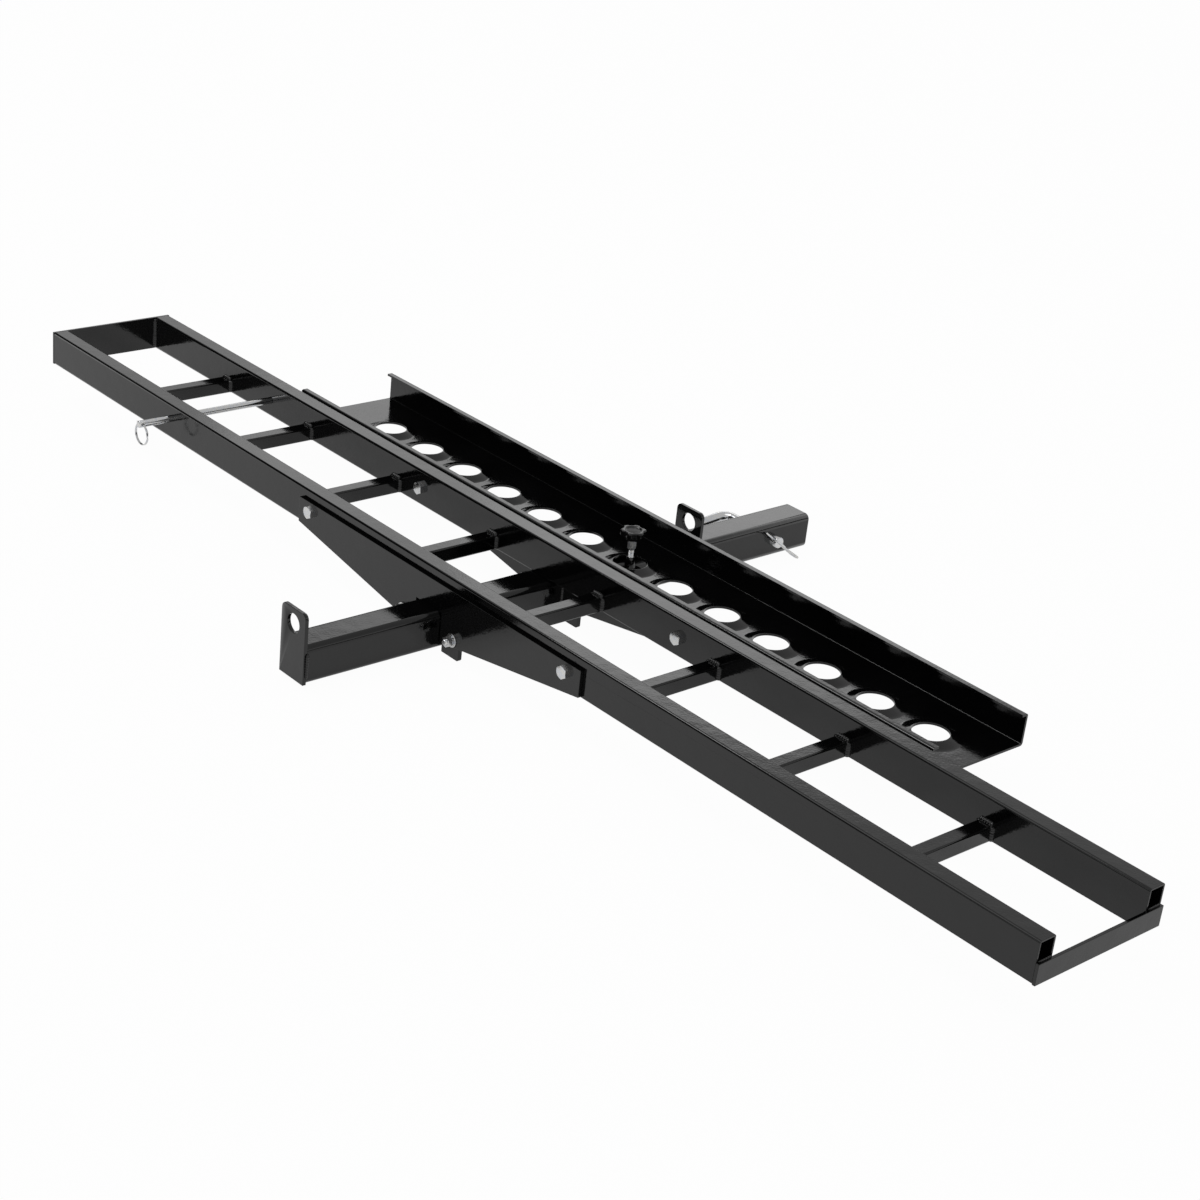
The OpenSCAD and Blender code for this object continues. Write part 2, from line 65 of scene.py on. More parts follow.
def group_of(name, inputs, outputs):
    """Starts a shader node group with number or colour inputs and named outputs."""
    tree = bpy.data.node_groups.new(name, "ShaderNodeTree")
    for label, value in inputs:
        kind = "NodeSocketFloat" if isinstance(value, float) else "NodeSocketColor"
        socket = tree.interface.new_socket(label, in_out="INPUT", socket_type=kind)
        socket.default_value = value
    for label, kind in outputs:
        tree.interface.new_socket(label, in_out="OUTPUT", socket_type="NodeSocket" + kind)
    came, goes = tree.nodes.new("NodeGroupInput"), tree.nodes.new("NodeGroupOutput")
    return tree, came.outputs, goes.inputs


def put(tree, kind, sockets, links, **settings):
    """Adds a node with its settings, its socket values and the links into it."""
    node = tree.nodes.new(kind)
    for key, value in settings.items():
        setattr(node, key, value)
    for key, value in sockets.items():
        node.inputs[key].default_value = value
    for key, source in links.items():
        tree.links.new(source, node.inputs[key])
    return node


def noise(tree, where, scale, detail=2.0, rough=0.5):
    """Fractal noise whose grain is about 1 / scale metres wide."""
    sockets = {"Scale": scale, "Detail": detail, "Roughness": rough}
    return put(tree, "ShaderNodeTexNoise", sockets, {"Vector": where}).outputs["Fac"]


def spread(tree, value, low, high, to_low, to_high):
    """Maps value from low..high on to to_low..to_high and holds it past the ends."""
    sockets = {"From Min": low, "From Max": high, "To Min": to_low, "To Max": to_high}
    return put(tree, "ShaderNodeMapRange", sockets, {"Value": value}).outputs["Result"]


def maths(tree, operation, first, second):
    """first (operation) second, each a socket or a number."""
    node = tree.nodes.new("ShaderNodeMath")
    node.operation = operation
    for socket, value in zip(node.inputs, (first, second)):
        if isinstance(value, (int, float)):
            socket.default_value = value
        else:
            tree.links.new(value, socket)
    return node.outputs[0]


def blend_colours(tree, share, first, second):
    """first x (1 - share) + second x share, each a socket or a colour."""
    node = tree.nodes.new("ShaderNodeMix")
    node.data_type = "RGBA"
    factor, first_colour, second_colour = (node.inputs[i] for i in (0, 6, 7))
    tree.links.new(share, factor)
    for socket, value in zip((first_colour, second_colour), (first, second)):
        if isinstance(value, tuple):
            socket.default_value = value
        else:
            tree.links.new(value, socket)
    return node.outputs[2]


def height_to_normal(tree, height, depth):
    """Bump that reads height as depth metres from its lowest to its highest."""
    return put(tree, "ShaderNodeBump", {"Distance": depth}, {"Height": height}).outputs["Normal"]


def film_group():
    """Height = fine peel + 3 x broad waves. Roughness and colour follow a slow
    noise, so the film is a touch duller and greyer in clouds, and specks of dust
    lie on it."""
    tree, came, goes = group_of(
        "powder_coat_film",
        [("Colour", (0.01, 0.01, 0.01, 1.0)), ("Roughness", 0.12), ("Grain", 330.0)],
        [("Colour", "Color"), ("Roughness", "Float"), ("Height", "Float")])
    wave_grain, cloud_grain, dust_grain, wave_share = 45.0, 11.0, 1100.0, 3.0
    haze, most_haze = (0.5, 0.5, 0.52, 1.0), 0.003
    dust, most_dust = (0.45, 0.44, 0.42, 1.0), 0.02
    where = tree.nodes.new("ShaderNodeTexCoord").outputs["Object"]
    peel = put(tree, "ShaderNodeTexNoise", {"Detail": 1.0, "Roughness": 0.4},
               {"Vector": where, "Scale": came["Grain"]}).outputs["Fac"]
    waves = noise(tree, where, wave_grain, 1.0)
    cloud = noise(tree, where, cloud_grain, 4.0, 0.6)
    specks = spread(tree, noise(tree, where, dust_grain, 1.0), 0.7, 0.78, 0.0, most_dust)
    clouds = spread(tree, cloud, 0.4, 0.75, 0.0, most_haze)
    hazy = blend_colours(tree, clouds, came["Colour"], haze)
    tree.links.new(blend_colours(tree, specks, hazy, dust), goes["Colour"])
    duller = spread(tree, cloud, 0.3, 0.7, 0.85, 1.2)
    tree.links.new(maths(tree, "MULTIPLY", came["Roughness"], duller), goes["Roughness"])
    broad = maths(tree, "MULTIPLY", waves, wave_share)
    tree.links.new(maths(tree, "ADD", peel, broad), goes["Height"])
    return tree


def finish_of(name, group, values, depth, metallic=0.0):
    """A finish: the group's colour and roughness go to the shader, its height to a
    bump of the given depth in metres."""
    material = bpy.data.materials.new(name)
    material.use_nodes = True
    tree = material.node_tree
    shader = tree.nodes["Principled BSDF"]
    effect = tree.nodes.new("ShaderNodeGroup")
    effect.node_tree = group
    for label, value in values.items():
        effect.inputs[label].default_value = value
    normal = height_to_normal(tree, effect.outputs["Height"], depth)
    tree.links.new(effect.outputs["Colour"], shader.inputs["Base Color"])
    tree.links.new(effect.outputs["Roughness"], shader.inputs["Roughness"])
    tree.links.new(normal, shader.inputs["Normal"])
    shader.inputs["Metallic"].default_value = metallic
    return material


coat_black = (0.0012, 0.0012, 0.0013, 1.0)
coat_film = film_group()
frame_coat = finish_of("frame_powder_coat", coat_film,
                       {"Colour": coat_black, "Roughness": 0.1, "Grain": 330.0},
                       depth=0.00006)


def round_edges(piece, radius, segments, sharp):
    """Rounds the edges that turn more than sharp degrees to a radius in
    millimetres, in the given number of segments."""
    rounding = piece.modifiers.new("edge", "BEVEL")
    rounding.width = radius * MM
    rounding.segments = segments
    rounding.limit_method = "ANGLE"
    rounding.angle_limit = math.radians(sharp)
    rounding.harden_normals = True
    return rounding


def dress(name, finish, edge=0.5):
    """Gives a CAD node its finish. Its loose triangles are joined, those of one
    plane become one face, and sharp edges get a rounding of edge millimetres."""
    same_point, same_plane = 0.01 * MM, math.radians(0.5)
    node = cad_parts[name]
    node.data.materials.clear()
    node.data.materials.append(finish)
    node.modifiers.new("join", "WELD").merge_threshold = same_point
    flats = node.modifiers.new("flats", "DECIMATE")
    flats.decimate_type = "DISSOLVE"
    flats.angle_limit = same_plane
    round_edges(node, edge, segments=2, sharp=40).use_clamp_overlap = False


# Hitch tube, its strap plates, its ears and the knob's bracket.
# A square steel tube that slides into the receiver. The plates stand across it,
# the ears and the bracket on its sides, all cut from flat bar and welded on.
for name in ("hitch_tube", "near_strap_plate", "far_strap_plate", "near_left_ear",
             "near_right_ear", "far_left_ear", "far_right_ear", "knob_bracket"):
    dress(name, frame_coat)

# Track: two rails, an end plate, an end bar and eight rungs.
# Rectangular and square steel tubes, butted and welded into a ladder. The rails
# are left open at their right ends.
rungs = ["rung_%d" % i for i in range(1, 9)]
for name in ["near_rail", "far_rail", "left_end_plate", "right_end_bar"] + rungs:
    dress(name, frame_coat)

# Gusset plates.
# Flat plates with a notch for the hitch tube, bolted through the rails and hung
# on the tube's ears.
for name in ("near_gusset", "far_gusset"):
    dress(name, frame_coat)

# Weld beads.
# Gas-metal welds along the joints of the frame, coated over with it. Each bead is
# a low ridge with ripples about 3 mm apart, a little uneven in width.
rng = np.random.default_rng(7)


def lay_mesh(name, points, quads, finish, body, stands_for=(), crease=35):
    """A piece from points in millimetres and index rows. Its doubles are merged,
    its faces are smooth, and edges sharper than crease degrees stay sharp."""
    same_point, no_length = 0.002 * MM, 0.001 * MM
    mesh = bpy.data.meshes.new(name)
    mesh.from_pydata((np.asarray(points) * MM).tolist(), [], np.asarray(quads).tolist())
    work = bmesh.new()
    work.from_mesh(mesh)
    bmesh.ops.remove_doubles(work, verts=work.verts, dist=same_point)
    bmesh.ops.dissolve_degenerate(work, edges=work.edges, dist=no_length)
    if all(edge.is_manifold for edge in work.edges):
        bmesh.ops.recalc_face_normals(work, faces=work.faces)
    work.to_mesh(mesh)
    work.free()
    mesh.shade_smooth()
    mesh.set_sharp_from_angle(angle=math.radians(crease))
    mesh.materials.append(finish)
    piece = bpy.data.objects.new(name, mesh)
    bpy.context.scene.collection.objects.link(piece)
    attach(piece, body)
    if stands_for:
        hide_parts(*stands_for)
    return piece


def grid_faces(rows, columns, closed):
    """Quads of a grid of rows x columns points. closed joins the last column to
    the first."""
    spans = columns if closed else columns - 1
    i, j = np.meshgrid(np.arange(rows - 1), np.arange(spans), indexing="ij")
    k = (j + 1) % columns
    quads = [i * columns + j, i * columns + k, (i + 1) * columns + k, (i + 1) * columns + j]
    return np.stack(quads, -1).reshape(-1, 4)


def sweep(path, section, up):
    """Carries a closed section along a path: point = path + across x section[0] +
    rise x section[1], where across = tangent x up. section is (k, 2), or (n, k, 2)
    to change along the path. The ends close on their middle points."""
    path = np.asarray(path, float)
    section = np.broadcast_to(section, (len(path),) + np.shape(section)[-2:])
    tangent = np.gradient(path, axis=0)
    tangent /= np.linalg.norm(tangent, axis=1, keepdims=True)
    across = np.cross(tangent, np.broadcast_to(np.asarray(up, float), path.shape))
    across /= np.linalg.norm(across, axis=1, keepdims=True)
    rise = np.cross(across, tangent)
    skin = path[:, None] + across[:, None] * section[..., :1] + rise[:, None] * section[..., 1:]
    n, k = skin.shape[:2]
    first, last = (np.repeat(row.mean(1, keepdims=True), k, 1) for row in (skin[:1], skin[-1:]))
    rows = np.concatenate([first, skin, last])
    return rows.reshape(-1, 3), grid_faces(n + 2, k, True)


def circle(radius, corners=20):
    """Points of a circle: radius x (cos a, sin a)."""
    a = np.arange(corners) * 2 * np.pi / corners
    return radius * np.stack([np.cos(a), np.sin(a)], 1)


def join_grids(parts):
    """Puts several (points, faces) pairs into one."""
    points, faces, count = [], [], 0
    for p, f in parts:
        points.append(p)
        faces.append(f + count)
        count += len(p)
    return np.concatenate(points), np.concatenate(faces)


def bead(start, end, outward, width):
    """A round ridge from start to end, with s the way along it in millimetres. Its
    half width is width x (0.85 + 0.26 |sin(pi s / 3.4 + phase)| + 0.12 wander) x
    sqrt(1 - (2 s / length - 1)^8), its height 0.75 of that. wander is a random
    line from -1 to 1, and outward tells which way the ridge stands."""
    step, ripple_l, wander_l, height_share = 0.6, 3.4, 7.0, 0.75
    start, end = np.asarray(start, float), np.asarray(end, float)
    length = np.linalg.norm(end - start)
    s = np.linspace(0, length, max(int(length / step), 12))
    knots = max(int(length / wander_l), 3)
    wander = np.interp(s, np.linspace(0, length, knots), rng.uniform(-1, 1, knots))
    phase = rng.uniform(0, 6)
    ripple = np.abs(np.sin(np.pi * s / ripple_l + phase)) * 0.26 - 0.15 + wander * 0.12
    taper = np.sqrt(np.clip(1 - (2 * s / length - 1) ** 8, 0.02, 1))
    half = width * (1 + ripple) * taper
    path = start + (end - start) * (s / length)[:, None]
    path += np.asarray(outward, float) * (wander * 0.12)[:, None]
    return sweep(path, half[:, None, None] * circle(1.0, 14) * [1.0, height_share], outward)


def welds(name, runs):
    """One piece from all the beads of a joint group."""
    points, faces = join_grids([bead(*run) for run in runs])
    lay_mesh(name, points, faces, frame_coat, "carrier", crease=70)


def mm_box(node):
    """A CAD node's lowest and highest corners, in millimetres."""
    low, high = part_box(node)
    return np.array(low) / MM, np.array(high) / MM


# Rung welds: over the top and down both sides of each rung, at both rails.
# A bead's middle lies a little off the rail and off the rung, and its ends stop
# short of the edges.
off_rail, off_steel, broad, slim = 0.4, 0.3, 4.4, 3.6
inset, overrun, drop = 1.0, 0.5, 0.5
runs = []
for name in rungs:
    (left, front, bottom), (right, back, top) = mm_box(name)
    over, right_side, left_side = top + off_steel, right + off_steel, left - off_steel
    for y, side in ((front + off_rail, 1), (back - off_rail, -1)):
        x0, x1, z0, z1 = left + inset, right + overrun, top - drop, bottom + inset
        runs += [((x0, y, over), (x1, y, over), (0, side, 1), broad),
                 ((right_side, y, z0), (right_side, y, z1), (1, side, 0), broad),
                 ((left_side, y, z0), (left_side, y, z1), (-1, side, 0), slim)]
welds("rung_welds", runs)

# Track end welds: upright in the corners of the end plate and the end bar, and
# across the rails' tops where the bar butts on them.
near_low, near_high = mm_box("near_rail")
far_low, far_high = mm_box("far_rail")
plate_low, plate_high = mm_box("left_end_plate")
bar_low, bar_high = mm_box("right_end_bar")
plate_bead, bar_bead, butt_bead = 4.4, 2.8, 2.2
off_bar, plate_drop, trim = 0.2, 2.0, 3.0
runs = []
for y, side in ((near_high[1], 1), (far_low[1], -1)):
    x, inward = plate_high[0] + off_steel, y + side * off_steel
    runs.append(((x, inward, plate_high[2] - plate_drop), (x, inward, plate_low[2] + inset),
                 (1, side, 0), plate_bead))
    x, inward = bar_low[0] - off_steel, y + side * off_bar
    runs.append(((x, inward, bar_high[2] - inset), (x, inward, bar_low[2] + inset),
                 (-1, side, 0), bar_bead))
x, z = bar_low[0] - off_bar, bar_high[2] + off_bar
for low, high in ((near_low, near_high), (far_low, far_high)):
    runs.append(((x, low[1] + trim, z), (x, high[1] - trim, z), (-1, 0, 1), butt_bead))
welds("track_end_welds", runs)

# Hitch tube welds: round the strap plates, up both sides of each ear, and along
# the bracket's top. They keep to the flats between the tube's rounded corners.
tube_side, _, tube_top = mm_box("hitch_tube")[1]
strap_back = mm_box("near_strap_plate")[1][1]
far_strap_low, far_strap_high = mm_box("far_strap_plate")
tube_corner = 8.0
half = tube_side - tube_corner
top_bead, side_bead, plate_bead, ear_bead, bracket_bead = 3.4, 3.0, 3.2, 2.6, 2.8
runs = [((-half, strap_back, tube_top), (half, strap_back, tube_top), (0, 1, 1), top_bead)]
for side in (-1, 1):
    x = side * tube_side
    runs.append(((x, strap_back, half), (x, strap_back, -half), (side, 1, 0), side_bead))
for y, side in ((far_strap_low[1], -1), (far_strap_high[1], 1)):
    runs.append(((-half, y, tube_top), (half, y, tube_top), (0, side, 1), plate_bead))
for name in ("near_left_ear", "near_right_ear", "far_left_ear", "far_right_ear"):
    low, high = mm_box(name)
    side = -1 if "left" in name else 1
    x = side * tube_side
    for y, way in ((low[1], -1), (high[1], 1)):
        runs.append(((x, y, half), (x, y, -half), (side, way, 0), ear_bead))
low, high = mm_box("knob_bracket")
runs.append(((tube_side, low[1] + trim, high[2]), (tube_side, high[1] - trim, high[2]),
             (1, 0, 1), bracket_bead))
welds("tube_welds", runs)

# Ramp channel.
# Steel sheet pressed into a wide channel: thirteen holes with raised collars down
# its floor, and the tops of its two sides turned in as lips.
ramp_coat = finish_of("ramp_powder_coat", coat_film,
                      {"Colour": coat_black, "Roughness": 0.1, "Grain": 300.0},
                      depth=0.00007)
low, high = mm_box("ramp_channel")
sheet_t, lip = 3.0, 10.0  # the sheet's thickness and a lip's width
foot_bend, head_bend = 4.0, 3.4  # outer radii of the bends under and over a side
holes, pitch, lead = 13, 88.9, 112.6  # lead runs from the ramp's end to the first hole
hole_r, collar_r, collar_rise = 23.0, 40.0, 5.0
middle_y = (low[1] + high[1]) / 2
half_w = (high[1] - low[1]) / 2
flat = half_w - foot_bend
cells_x, cells_y = 18, 30  # faces round one hole, along the ramp and across it


def collar_height(r):
    """Height of the floor's middle surface at a distance r from a hole's centre: a
    straight cone from 0 at collar_r to collar_rise at hole_r. With t the share of
    the way in, it starts as m t^2 / (2 foot) and ends as 1 - m (1 - t)^2 / (2 brim),
    where m = 1 / (1 - foot / 2 - brim / 2) is the slope between."""
    t, foot, brim = np.clip((collar_r - r) / (collar_r - hole_r), 0, 1), 0.36, 0.1
    m = 1 / (1 - foot / 2 - brim / 2)
    start, end = m * t ** 2 / (2 * foot), 1 - m * (1 - t) ** 2 / (2 * brim)
    cone = m * (t - foot / 2)
    return collar_rise * np.where(t < foot, start, np.where(t > 1 - brim, end, cone))


def floor_cell(x):
    """The floor round one hole. Rays run from the hole's rim to evenly spaced
    points on the cell's border; on a ray the radius goes from hole_r to collar_r
    in steps that are finer at both blends, and from there straight to the border."""
    collar_rows, outer_rows = 17, 5
    u = np.linspace(-1, 1, cells_x + 1)[:-1]
    v = np.linspace(-1, 1, cells_y + 1)[:-1]
    border = np.concatenate([
        np.stack([u * pitch / 2, np.full(cells_x, -flat)], 1),
        np.stack([np.full(cells_y, pitch / 2), v * flat], 1),
        np.stack([-u * pitch / 2, np.full(cells_x, flat)], 1),
        np.stack([np.full(cells_y, -pitch / 2), -v * flat], 1)])
    reach = np.linalg.norm(border, axis=1)
    way = border / reach[:, None]
    share = 0.5 - 0.5 * np.cos(np.linspace(0, np.pi, collar_rows))
    inner = hole_r + (collar_r - hole_r) * share
    outer = np.linspace(0, 1, outer_rows)[1:]
    radius = np.concatenate([np.repeat(inner[:, None], len(border), 1),
                             collar_r + outer[:, None] * (reach - collar_r)])
    spots = way * radius[..., None]
    points = np.stack([x + spots[..., 0], middle_y + spots[..., 1],
                       low[2] + sheet_t / 2 + collar_height(radius)], -1)
    return points.reshape(-1, 3), grid_faces(len(radius), len(border), True)[:, ::-1]


def side_profile():
    """Middle line of one side in (y, z): quarter turn from the floor, web, quarter
    turn, lip. y counts outwards from the channel's middle, z up from its underside,
    and a quarter turn is centre + r x (sin a, -cos a) or centre + r x (cos a, sin a)."""
    a = np.linspace(0, np.pi / 2, 7)
    top = high[2] - low[2]
    r = foot_bend - sheet_t / 2
    foot = np.stack([flat + r * np.sin(a), foot_bend - r * np.cos(a)], 1)
    web_z = np.linspace(foot_bend, top - head_bend, 9)[1:-1]
    web = np.stack([np.full(7, half_w - sheet_t / 2), web_z], 1)
    r = head_bend - sheet_t / 2
    head = np.stack([half_w - head_bend + r * np.cos(a), top - head_bend + r * np.sin(a)], 1)
    lip_y = np.linspace(half_w - head_bend, half_w - lip, 4)[1:]
    return np.concatenate([foot, web, head, np.stack([lip_y, np.full(3, top - sheet_t / 2)], 1)])


first = low[0] + lead - pitch / 2
last = first + holes * pitch
left_rows, right_rows = 13, 6  # rows of the plain floor at the two ends
stations = np.concatenate([np.linspace(low[0], first, left_rows)[:-1],
                           np.linspace(first, last, holes * cells_x + 1),
                           np.linspace(last, high[0], right_rows)[1:]])
profile = side_profile()
parts = [floor_cell(low[0] + lead + i * pitch) for i in range(holes)]
for side in (-1, 1):
    x, j = np.meshgrid(stations, np.arange(len(profile)), indexing="ij")
    points = np.stack([x, middle_y + side * profile[j, 0], low[2] + profile[j, 1]], -1)
    faces = grid_faces(len(stations), len(profile), False)
    parts.append((points.reshape(-1, 3), faces if side < 0 else faces[:, ::-1]))
for ends in (stations[:left_rows], stations[-right_rows:]):
    x, y = np.meshgrid(ends, np.linspace(-flat, flat, cells_y + 1), indexing="ij")
    points = np.stack([x, middle_y + y, np.full_like(x, low[2] + sheet_t / 2)], -1)
    parts.append((points.reshape(-1, 3), grid_faces(len(ends), cells_y + 1, False)[:, ::-1]))
points, faces = join_grids(parts)
ramp = lay_mesh("ramp_sheet", points, faces, ramp_coat, "ramp",
                ["ramp_channel"], crease=50)
wall = ramp.modifiers.new("wall", "SOLIDIFY")
wall.thickness = sheet_t * MM
wall.offset = 0
wall.use_even_offset = True
round_edges(ramp, 0.7, segments=3, sharp=50)

# Zinc plate: the finish of the bolts, nuts and washers.
# A thin bright layer plated on steel, with soft clouds and fine drawn lines.


def zinc_group():
    """Bright zinc: grey with cool and warm clouds a few millimetres wide. Height =
    clouds + 0.4 x scratches, which are noise stretched along Z."""
    tree, came, goes = group_of(
        "zinc_plate", [("Roughness", 0.25)],
        [("Colour", "Color"), ("Roughness", "Float"), ("Height", "Float")])
    cloud_grain, line_grain, stretch, line_share = 260.0, 2600.0, 0.08, 0.4
    cool, warm = (0.66, 0.68, 0.72, 1.0), (0.76, 0.75, 0.72, 1.0)
    where = tree.nodes.new("ShaderNodeTexCoord").outputs["Object"]
    cloud = noise(tree, where, cloud_grain, 3.0)
    drawn = put(tree, "ShaderNodeMapping", {"Scale": (1.0, 1.0, stretch)}, {"Vector": where})
    lines = noise(tree, drawn.outputs["Vector"], line_grain, 2.0)
    hue = spread(tree, cloud, 0.35, 0.65, 0.0, 1.0)
    tree.links.new(blend_colours(tree, hue, cool, warm), goes["Colour"])
    duller = spread(tree, cloud, 0.3, 0.7, 0.8, 1.3)
    tree.links.new(maths(tree, "MULTIPLY", came["Roughness"], duller), goes["Roughness"])
    scratches = maths(tree, "MULTIPLY", lines, line_share)
    tree.links.new(maths(tree, "ADD", cloud, scratches), goes["Height"])
    return tree


plate_film = zinc_group()
zinc = finish_of("bright_zinc", plate_film, {"Roughness": 0.24}, depth=0.00003, metallic=1.0)

# Gusset bolts and their nuts.
# Four M10 hexagon bolts, forged and plated, each through a gusset plate and its
# rail. The far nuts are thin, because the ramp leaves them little room.


def lathe(rows, corners=72, shape=None):
    """Rows of (radius, height) turned about Z: x = radius cos a, y = radius sin a.
    shape(a) multiplies the radius, in the share that a row's third value gives,
    and the ends close on the axis."""
    rows = np.asarray(rows, float)
    a = np.arange(corners) * 2 * np.pi / corners
    swell = np.ones(corners) if shape is None else shape(a)
    mask = rows[:, 2:3] if rows.shape[1] > 2 else np.zeros((len(rows), 1))
    radius = rows[:, :1] * (1 + mask * (swell - 1))
    height = np.repeat(rows[:, 1:2], corners, 1)
    points = np.stack([radius * np.cos(a), radius * np.sin(a), height], -1)
    first, last = (np.repeat([[[0.0, 0.0, rows[i, 1]]]], corners, 1) for i in (0, -1))
    skin = np.concatenate([first, points, last])
    return skin.reshape(-1, 3), grid_faces(len(skin), corners, True)


def hexagon_block(flats, height, bore=0.0, both=False):
    """Hexagon with turned-down corners: radius = (flats / 2) / cos(a mod 60 - 30),
    and a row's height is held under a 30 degree cone from the flats' middle. A
    bore turns the block into a ring, and both turns down its lower corners too."""
    corners, top_share, sharp_foot = 72, 0.985, 0.01
    a = np.arange(corners) * 2 * np.pi / corners
    inner = flats / 2 * top_share
    outer = (flats / 2) / np.cos((a % (np.pi / 3)) - np.pi / 6)
    drop = np.maximum(outer - inner, 0) * math.tan(math.radians(30))
    rows = [(bore, 0.0), (inner if both else outer * top_share, 0.0),
            (outer, drop if both else sharp_foot), (outer, height - drop),
            (inner, height), (bore, height)]
    if bore:
        rows.append(rows[0])
    rings = [np.stack([r * np.cos(a), r * np.sin(a), z + 0 * a], 1) for r, z in rows]
    return np.concatenate(rings), grid_faces(len(rings), corners, True)


def threaded_rod(radius, length, pitch):
    """Rod along +Z with a helical thread: r = radius - 0.55 pitch |saw(z / pitch -
    a / 2 pi)|, drawn in to 0.8 radius at its last 1.2 millimetres."""
    corners, rows_a_turn, depth, lead_l, lead_share = 40, 8, 0.55, 1.2, 0.2
    a = np.arange(corners) * 2 * np.pi / corners
    z = np.linspace(0, length, int(length / pitch * rows_a_turn) + 2)
    turn = (z[:, None] / pitch - a[None] / (2 * np.pi)) % 1
    r = radius - depth * pitch * np.abs(2 * turn - 1)
    lead_in = np.clip((z - length + lead_l) / lead_l, 0, 1)[:, None]
    r = np.minimum(r, radius * (1 - lead_share * lead_in))
    points = np.stack([r * np.cos(a), r * np.sin(a), np.repeat(z[:, None], corners, 1)], -1)
    first, last = (np.repeat([[[0.0, 0.0, z[i]]]], corners, 1) for i in (0, -1))
    skin = np.concatenate([first, points, last])
    return skin.reshape(-1, 3), grid_faces(len(skin), corners, True)


def placed(part, at, outward, turn=0.0):
    """Turns a part about Z by turn degrees, points its +Z outwards and moves it."""
    points, faces = part
    c, s = math.cos(math.radians(turn)), math.sin(math.radians(turn))
    points = points @ np.array([[c, -s, 0], [s, c, 0], [0, 0, 1]]).T
    z = np.asarray(outward, float)
    x = np.cross([0.0, 0.0, 1.0], z) if abs(z[2]) < 0.9 else np.array([1.0, 0.0, 0.0])
    x /= np.linalg.norm(x)
    return points @ np.stack([x, np.cross(z, x), z]) + np.asarray(at, float), faces


def lay_plated(name, parts, node):
    """One zinc-plated piece from its parts, in place of a CAD node."""
    points, faces = join_grids(parts)
    lay_mesh(name, points, faces, zinc, "carrier", [node])


bolt_x, bolt_z, grip = 262.0, 50.0, 30.0  # grip is the gusset plate and the rail
bolt_r, thread_pitch, thread_past = 5.0, 1.5, 2.5
flats, head_h, bore_r, nut_turn = 16.0, 6.4, 5.05, 9.0
near_face, far_face = mm_box("near_gusset")[0][1], far_low[1]
parts, nuts = [], []
for y, nut_h, turns in ((near_face, 8.0, (27.0, 34.0)), (far_face, 5.0, (31.0, 28.0))):
    for x, turn in zip((-bolt_x, bolt_x), turns):
        face = np.array([x, y, bolt_z])
        shaft = lathe([(bolt_r, 0), (bolt_r, grip - 0.5)])
        thread = threaded_rod(bolt_r, nut_h + thread_past, thread_pitch)
        nut = hexagon_block(flats, nut_h, bore_r, True)
        parts.append(placed(hexagon_block(flats, head_h), face, (0, -1, 0), turn))
        parts.append(placed(shaft, face + [0, -0.5, 0], (0, 1, 0)))
        parts.append(placed(thread, face + [0, grip - 1, 0], (0, 1, 0), turn))
        nuts.append(placed(nut, face + [0, grip, 0], (0, 1, 0), turn + nut_turn))
lay_plated("gusset_bolts_plated", parts, "gusset_bolts")
lay_plated("gusset_nuts_plated", nuts, "gusset_nuts")

# Clamp bolts, their nuts, flat washers and spring washers.
# Four M8 sets that hang the gusset plates on the tube's ears. A spring washer is a
# coil of flat wire, cut through once and pressed almost flat under its nut.
clamp_x, clamp_z = 51.0, -2.0
bolt_r, thread_pitch, plain_l, thread_l = 4.0, 1.25, 12.5, 12.5
flats, head_h, nut_h, bore_r, nut_turn = 13.0, 5.3, 6.5, 4.05, 14.0
washer_t, spring_t = 2.0, 2.0
washer_rows = [(4.25, 0), (8.7, 0), (9, 0.3), (9, 1.7), (8.7, 2), (4.25, 2), (4.25, 0)]
a = np.linspace(0, np.radians(352), 60)
coil = np.stack([5.72 * np.cos(a), 5.72 * np.sin(a), 1.0 + 0.1 * (a / np.pi - 1)], 1)
flat_wire = np.array([[-1.66, -0.75], [-1.5, -0.9], [1.5, -0.9], [1.66, -0.75],
                      [1.66, 0.75], [1.5, 0.9], [-1.5, 0.9], [-1.66, 0.75]])
gusset_y = {-1: mm_box("near_gusset")[0][1], 1: mm_box("far_gusset")[1][1]}
ear_y = {-1: mm_box("near_right_ear")[1][1], 1: mm_box("far_right_ear")[0][1]}
sites = [(x, side) for side in (-1, 1) for x in (-clamp_x, clamp_x)]
parts, nuts, washers, springs = [], [], [], []
for (x, side), turn in zip(sites, (33.0, 17.0, 50.0, 8.0)):
    inner = np.array([x, ear_y[side], clamp_z])
    outer = np.array([x, gusset_y[side], clamp_z])
    out = np.array([0, side, 0.0])
    shaft = lathe([(bolt_r, 0), (bolt_r, plain_l)])
    thread = threaded_rod(bolt_r, thread_l, thread_pitch)
    nut = hexagon_block(flats, nut_h, bore_r, True)
    parts.append(placed(hexagon_block(flats, head_h), inner, -out, turn))
    parts.append(placed(shaft, inner + out * -0.5, out))
    parts.append(placed(thread, inner + out * (plain_l - 0.5), out, turn))
    washers.append(placed(lathe(washer_rows), outer, out))
    springs.append(placed(sweep(coil, flat_wire, (0, 0, 1)), outer + out * washer_t, out, turn * 3))
    nuts.append(placed(nut, outer + out * (washer_t + spring_t), out, turn + nut_turn))
lay_plated("clamp_bolts_plated", parts, "clamp_bolts")
lay_plated("clamp_nuts_plated", nuts, "clamp_nuts")
lay_plated("clamp_washers_plated", washers, "clamp_washers")
lay_plated("clamp_spring_washers_plated", springs, "clamp_spring_washers")

# Ramp knob and the cap in its dish.
# A glass-filled nylon star knob moulded round the head of its stud. A duller cap
# is pressed into the dish on its top.


